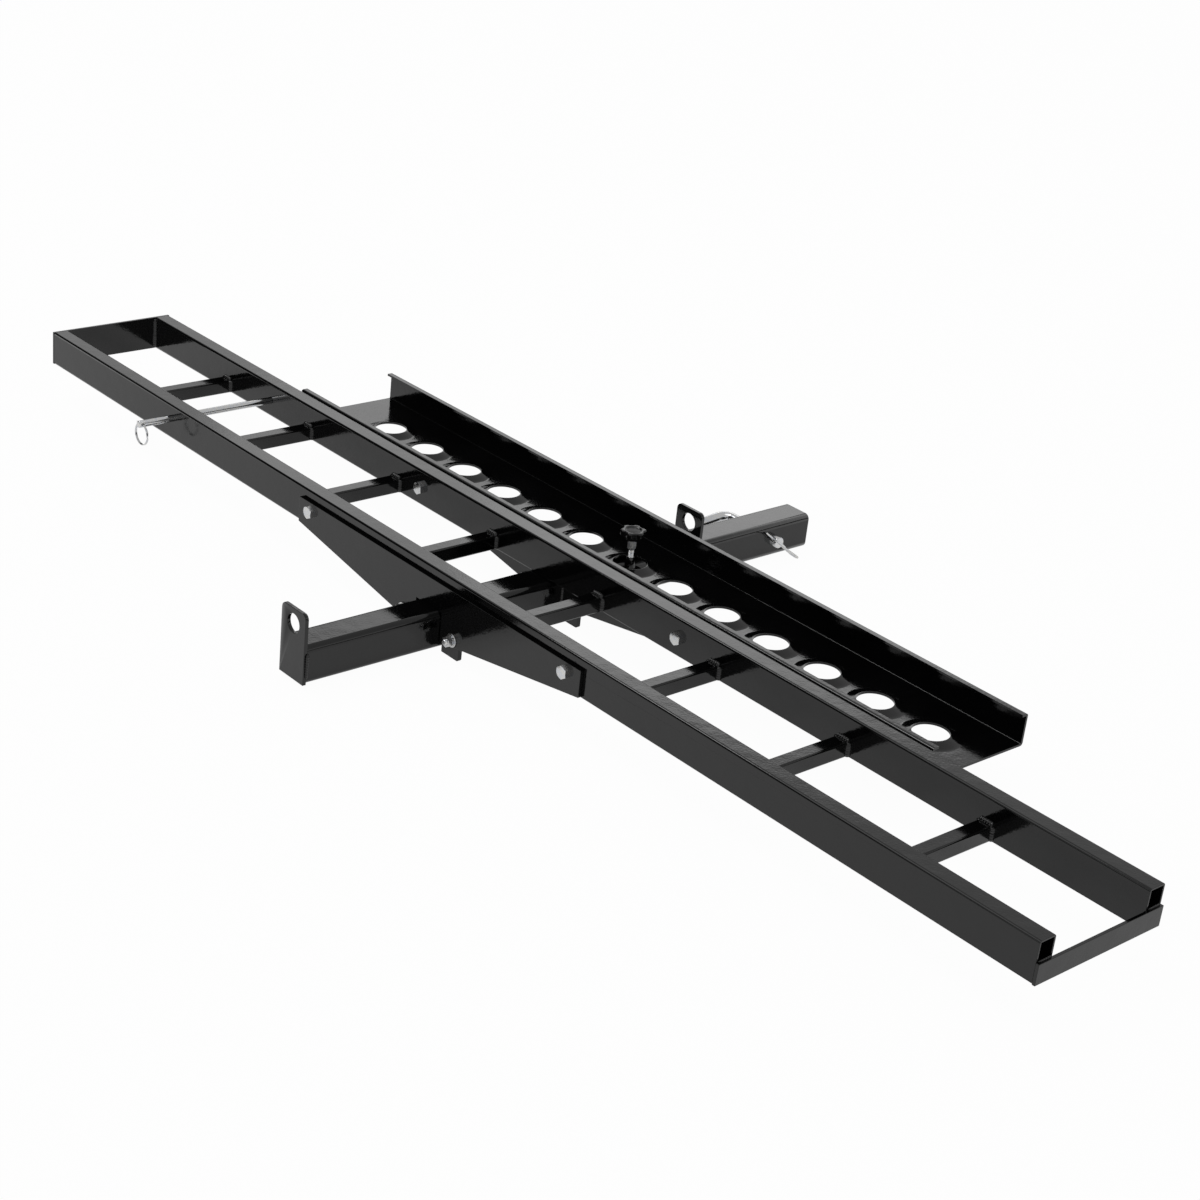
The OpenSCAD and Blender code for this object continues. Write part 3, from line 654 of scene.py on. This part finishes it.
def plastic_group():
    """Moulded nylon: a fine spark texture with a slow change of gloss."""
    tree, came, goes = group_of(
        "moulded_plastic", [("Colour", (0.012, 0.012, 0.013, 1.0)), ("Roughness", 0.3)],
        [("Colour", "Color"), ("Roughness", "Float"), ("Height", "Float")])
    spark_grain, cloud_grain, glint, most_glint = 1500.0, 120.0, (0.3, 0.3, 0.3, 1.0), 0.006
    where = tree.nodes.new("ShaderNodeTexCoord").outputs["Object"]
    grain = noise(tree, where, spark_grain, 2.0)
    cloud = noise(tree, where, cloud_grain, 3.0)
    glints = spread(tree, grain, 0.4, 0.7, 0.0, most_glint)
    tree.links.new(blend_colours(tree, glints, came["Colour"], glint), goes["Colour"])
    duller = spread(tree, cloud, 0.3, 0.7, 0.85, 1.2)
    tree.links.new(maths(tree, "MULTIPLY", came["Roughness"], duller), goes["Roughness"])
    tree.links.new(grain, goes["Height"])
    return tree


nylon_grain = plastic_group()
plastic = finish_of("knob_nylon", nylon_grain,
                    {"Colour": (0.004, 0.004, 0.004, 1.0), "Roughness": 0.2}, depth=0.00002)
cap_nylon = finish_of("cap_nylon", nylon_grain,
                      {"Colour": (0.02, 0.02, 0.02, 1.0), "Roughness": 0.5}, depth=0.00002)
knob_low, knob_high = mm_box("knob_handle")
axis = np.array([(knob_low[0] + knob_high[0]) / 2, (knob_low[1] + knob_high[1]) / 2, 0.0])
core_r, lobe_r, lobe_at, softness = 14.4, 4.8, 12.6, 1.6
star_h, dish_depth = 8.0, 1.6
neck_z, head_z, top_z = knob_low[2], knob_high[2] - star_h, knob_high[2]
dish_z = top_z - dish_depth


def star(a):
    """Radius of the head over its core: a soft maximum, ln(e^(k core) + e^(k lobe))
    / k, of the core and of six lobes, circles whose centres lie at lobe_at."""
    b = (a + np.pi / 6) % (np.pi / 3) - np.pi / 6
    root = np.sqrt(np.maximum(lobe_r ** 2 - (lobe_at * np.sin(b)) ** 2, 0))
    lobe = lobe_at * np.cos(b) + root
    return np.log(np.exp(core_r * softness) + np.exp(lobe * softness)) / softness / core_r


neck = [(9.0, neck_z, 0), (9.6, neck_z + 2, 0), (10.4, neck_z + 4, 0), (11.6, head_z - 0.4, 0)]
head = [(13.0, head_z, 0.8), (13.8, head_z + 0.2, 1), (14.2, head_z + 0.9, 1),
        (core_r, head_z + 2, 1), (core_r, top_z - 2.4, 1), (14.2, top_z - 1.2, 1),
        (13.7, top_z - 0.35, 1), (12.9, top_z, 0.95), (12.0, top_z, 0.5), (11.2, top_z, 0)]
dish = [(10.7, top_z - 0.4, 0), (9.6, top_z - 1.45, 0), (8.8, dish_z, 0), (4.0, dish_z, 0)]
points, faces = lathe(neck + head + dish, corners=144, shape=star)
lay_mesh("star_knob", points + axis, faces, plastic, "knob",
         ["knob_handle"], crease=60)
points, faces = lathe([(9.0, dish_z - 0.6), (9.0, dish_z + 0.05), (8.6, dish_z + 0.2)])
lay_mesh("knob_cap", points + axis, faces, cap_nylon, "knob")

# Knob sleeve.
# A turned steel collar under the knob, ribbed on its outside and dull-plated. It
# presses the ramp's floor down and slides on the stud.
dull = finish_of("dull_plate", plate_film, {"Roughness": 0.5}, depth=0.00004, metallic=1.0)
sleeve_low, sleeve_high = mm_box("knob_sleeve")
foot_z, brim_z, bore_r = sleeve_low[2], sleeve_high[2], 4.05
rib_count, rib_depth = 16, 0.09  # the depth is a share of the radius


def ribs(a):
    """Radius of the sleeve over its greatest: 1 - depth (1 - cos(count a)) / 2."""
    return 1 - rib_depth * (0.5 - 0.5 * np.cos(rib_count * a))


points, faces = lathe([(bore_r, foot_z, 0), (4.3, foot_z, 0), (4.5, foot_z + 0.4, 0),
                       (4.6, foot_z + 1.4, 0), (5.6, foot_z + 1.9, 1), (5.7, foot_z + 2.4, 1),
                       (5.7, brim_z - 0.9, 1), (5.5, brim_z - 0.3, 1), (5.0, brim_z, 1),
                       (bore_r, brim_z, 0), (bore_r, foot_z, 0)], corners=192, shape=ribs)
lay_mesh("sleeve_turned", points + axis, faces, dull, "sleeve", ["knob_sleeve"])

# Knob stud.
# A steel M8 rod, threaded over its whole length and bright-plated. Its head is
# moulded into the knob, and it runs down into the post.
steel = finish_of("bright_steel", plate_film, {"Roughness": 0.16}, depth=0.00002, metallic=1.0)
stud_low, stud_high = mm_box("knob_stud")
points, faces = threaded_rod(radius=4.0, length=stud_high[2] - stud_low[2], pitch=1.25)
points = points * [1, 1, -1] + [0, 0, stud_high[2]]
lay_mesh("stud_threaded", points + axis, faces, steel, "knob", ["knob_stud"])

# The post on the bracket.
# A turned steel stub, tapped through, welded down and coated with the frame. Its
# top narrows to little more than the stud.
post_low, post_high = mm_box("knob_post")
foot_z, brim_z, post_r, cone_l = post_low[2], post_high[2], 7.0, 11.0
points, faces = lathe([(bore_r, foot_z), (post_r, foot_z), (post_r, brim_z - cone_l),
                       (4.9, brim_z - 0.4), (4.6, brim_z), (bore_r, brim_z), (bore_r, foot_z)],
                      corners=64)
lay_mesh("post_coated", points + axis, faces, frame_coat, "carrier",
         ["knob_post"])

# Hitch pin.
# A 16 mm steel rod, bent at a right angle for a handle, bright-plated, and pushed
# through the shank's cross hole.
dress("hitch_pin", steel, 1.2)

# Hitch pin clip.
# A spring-steel wire, 3 mm thick: one straight leg through the pin's end, a loop
# to pull it by, and a waved leg that grips the pin from outside.


def wire_route(steps, x, arc_step=3.0, straight_rows=8):
    """Points of a bent wire in its own plane, from (x, 0) on along x. Each step is
    a run, a bend radius and a bend angle in degrees. With the heading h at its
    start, a run's points are here + way x (cos h, sin h), and while the heading
    goes on to g a bend's are here + turn x (sin g - sin h, cos h - cos g)."""
    here, heading = np.array([x, 0.0]), 0.0
    out = [here[None]]
    for run, radius, angle in steps:
        h = math.radians(heading)
        way = run * np.arange(1, straight_rows + 1)[:, None] / straight_rows
        out.append(here + way * [math.cos(h), math.sin(h)])
        here = out[-1][-1]
        rows = int(abs(angle) / arc_step)
        if rows:
            g = np.radians(heading + angle * np.arange(1, rows + 1) / rows)
            turn = math.copysign(radius, angle)
            bend = np.stack([np.sin(g) - math.sin(h), math.cos(h) - np.cos(g)], 1)
            out.append(here + turn * bend)
            here = out[-1][-1]
        heading += angle
    return np.concatenate(out)


straight_leg, waved_leg = [71, 6.5, -208], [[15, 8, 62], [3, 10, -34], [16, 8, 22], [5, 0, 0]]
route = wire_route([straight_leg] + waved_leg, -30.0)
wire_r, tip_share, hole_x = 1.5, 0.72, 30.5
slope = math.radians(38)
downhill = np.array([0.0, math.cos(slope), -math.sin(slope)])
inwards = np.array([-1.0, 0, 0])
path = np.array([hole_x, 0, 0]) + route[:, :1] * downhill + route[:, 1:] * inwards
thickness = np.ones(len(path))
thickness[[0, -1]] = tip_share
section = circle(wire_r, 16)[None] * thickness[:, None, None]
points, faces = sweep(path, section, (0, math.sin(slope), math.cos(slope)))
lay_mesh("clip_wire", points, faces, steel, "clip", ["hitch_pin_clip"], crease=60)

# Wheel pin.
# A 10 mm steel rod through both rails, bright-plated, which holds a wheel chock.
dress("wheel_pin", steel, 1.2)

# Key ring.
# Two turns of flat-wound spring wire through the wheel pin's end, to pull it by.
ring_low, ring_high = mm_box("wheel_pin_ring")
centre = (ring_low + ring_high) / 2
ring_r, apart = 15.6, 0.78  # apart is half the distance between the two turns
a = np.linspace(0, np.radians(712), 240)
step_over = [0, np.radians(330), np.radians(382), np.radians(712)]
lift = np.interp(a, step_over, [-apart, -apart, apart, apart])
path = centre + np.stack([ring_r * np.cos(a), lift, ring_r * np.sin(a)], 1)
section = np.array([[-0.75, -0.5], [-0.5, -0.75], [0.5, -0.75], [0.75, -0.5],
                    [0.75, 0.5], [0.5, 0.75], [-0.5, 0.75], [-0.75, 0.5]])
points, faces = sweep(path, section, (0, 1, 0))
lay_mesh("key_ring_split", points, faces, steel, "key_ring", ["wheel_pin_ring"])

# Floor.
# A pale paper sheet under the lowest piece. It takes the object's soft shadow, and
# the camera and the metal see it almost white.
floor_z = cad_box[0][2] - 0.0005
reach = 30.0
mesh = bpy.data.meshes.new("floor")
mesh.from_pydata([(-reach, -reach, floor_z), (reach, -reach, floor_z),
                  (reach, reach, floor_z), (-reach, reach, floor_z)], [], [(0, 1, 2, 3)])
floor = bpy.data.objects.new("floor", mesh)
bpy.context.scene.collection.objects.link(floor)
paper = bpy.data.materials.new("paper_floor")
paper.use_nodes = True
tree = paper.node_tree
tree.nodes.clear()
rays = tree.nodes.new("ShaderNodeLightPath").outputs
where = tree.nodes.new("ShaderNodeTexCoord").outputs["Object"]
rightwards = put(tree, "ShaderNodeSeparateXYZ", {}, {0: where}).outputs["X"]
seen_white, mirrored_white, past_the_end = 0.97, 0.5, 0.3
mirrored = maths(tree, "MAXIMUM", rays["Is Glossy Ray"], rays["Is Transmission Ray"])
mirrored = maths(tree, "MULTIPLY", mirrored,
                 spread(tree, rightwards, 1.02, 1.12, mirrored_white, past_the_end))
share = maths(tree, "ADD", maths(tree, "MULTIPLY", rays["Is Camera Ray"], seen_white), mirrored)
lit = put(tree, "ShaderNodeBsdfDiffuse", {"Color": (0.82, 0.82, 0.82, 1.0)}, {})
white = put(tree, "ShaderNodeEmission", {"Color": (1.0, 1.0, 1.0, 1.0), "Strength": 1.0}, {})
mixed = put(tree, "ShaderNodeMixShader", {}, {0: share, 1: lit.outputs[0], 2: white.outputs[0]})
tree.links.new(mixed.outputs[0], tree.nodes.new("ShaderNodeOutputMaterial").inputs[0])
mesh.materials.append(paper)

# Studio walls.
# White to the camera. To the coat they are a wall that dims upwards, with a dark
# skirting round its foot and a dark screen on the left in front, open at its top.
world = bpy.data.worlds.new("studio")
bpy.context.scene.world = world
world.use_nodes = True
tree = world.node_tree
tree.nodes.clear()
rays = tree.nodes.new("ShaderNodeLightPath").outputs
way = tree.nodes.new("ShaderNodeTexCoord").outputs["Generated"]
height = put(tree, "ShaderNodeSeparateXYZ", {}, {0: way}).outputs["Z"]  # sine of the elevation
screen_way, screen_dark, skirting_dark = (-0.836, -0.483, 0.259), 0.03, 0.05
upper_tone, plain_tone = 0.55, 0.55
towards = put(tree, "ShaderNodeVectorMath", {1: screen_way}, {0: way}, operation="DOT_PRODUCT")
screen = maths(tree, "MAXIMUM",
               spread(tree, towards.outputs["Value"], 0.57, 0.77, 1.0, screen_dark),
               spread(tree, height, 0.62, 0.7, 0.0, 1.0))
skirting = maths(tree, "MAXIMUM",
                 spread(tree, height, 0.01, 0.04, 1.0, skirting_dark),
                 spread(tree, height, 0.13, 0.19, skirting_dark, 1.0))
wall_tone = spread(tree, height, 0.30, 0.52, 1.0, upper_tone)
wall_tone = maths(tree, "MULTIPLY", maths(tree, "MULTIPLY", wall_tone, screen), skirting)
seen = maths(tree, "MAXIMUM", rays["Is Camera Ray"], rays["Is Transmission Ray"])
not_glossy = maths(tree, "SUBTRACT", 1.0, rays["Is Glossy Ray"])
plain = maths(tree, "MULTIPLY", not_glossy, plain_tone)
glossy = maths(tree, "MULTIPLY", rays["Is Glossy Ray"], wall_tone)
strength = maths(tree, "MAXIMUM", maths(tree, "ADD", glossy, plain), seen)
sky = put(tree, "ShaderNodeBackground", {"Color": (1.0, 1.0, 1.0, 1.0)}, {"Strength": strength})
tree.links.new(sky.outputs[0], tree.nodes.new("ShaderNodeOutputWorld").inputs[0])

# Lamps.
# Soft ovals far off: two behind, which the rails' faces mirror, one above, and a
# small one that draws the bright lines along the upper edges.


def lamp(name, azimuth, elevation, away, size, radiance):
    """A soft oval lamp away metres off, facing the object. Its power is radiance x
    pi x its area, where radiance 1 looks white."""
    light = bpy.data.lights.new(name, "AREA")
    light.shape = "ELLIPSE"
    light.size, light.size_y = size
    light.energy = radiance * math.pi * math.pi / 4 * size[0] * size[1]
    one = bpy.data.objects.new(name, light)
    a, e = math.radians(azimuth), math.radians(elevation)
    spot = Vector((math.cos(a) * math.cos(e), math.sin(a) * math.cos(e), math.sin(e)))
    one.location = spot * away
    one.rotation_euler = spot.to_track_quat("Z", "Y").to_euler()
    one.visible_camera = False
    bpy.context.scene.collection.objects.link(one)


lamp("back_lamp_wide", 138, 24, 9.0, (4.4, 2.0), 0.55)
lamp("back_lamp_core", 133, 26, 8.8, (3.0, 1.6), 0.5)
lamp("top_lamp", 250, 68, 5.0, (3.0, 3.0), 0.9)
lamp("edge_lamp", 212, 57, 6.0, (1.9, 1.9), 5.0)

# Camera.
# The photograph's viewpoint, found by fitting measured points of the part.
camera = bpy.data.objects.new("photo_view", bpy.data.cameras.new("photo_view"))
bpy.context.scene.collection.objects.link(camera)
right = np.array([0.648366, 0.754809, 0.099422])
below = np.array([0.380401, -0.208065, -0.901113])
forward = np.array([-0.659482, 0.622071, -0.422032])
pose = np.eye(4)
pose[:3, 0], pose[:3, 1], pose[:3, 2] = right, -below, -forward
pose[:3, 3] = (2.043313, -2.223713, 1.272245)
camera.matrix_world = Matrix(pose.tolist())
camera.data.lens = 69.61
camera.data.sensor_width = 36.0
camera.data.clip_end = 100.0
bpy.context.scene.camera = camera
bpy.context.scene.view_settings.view_transform = "Standard"
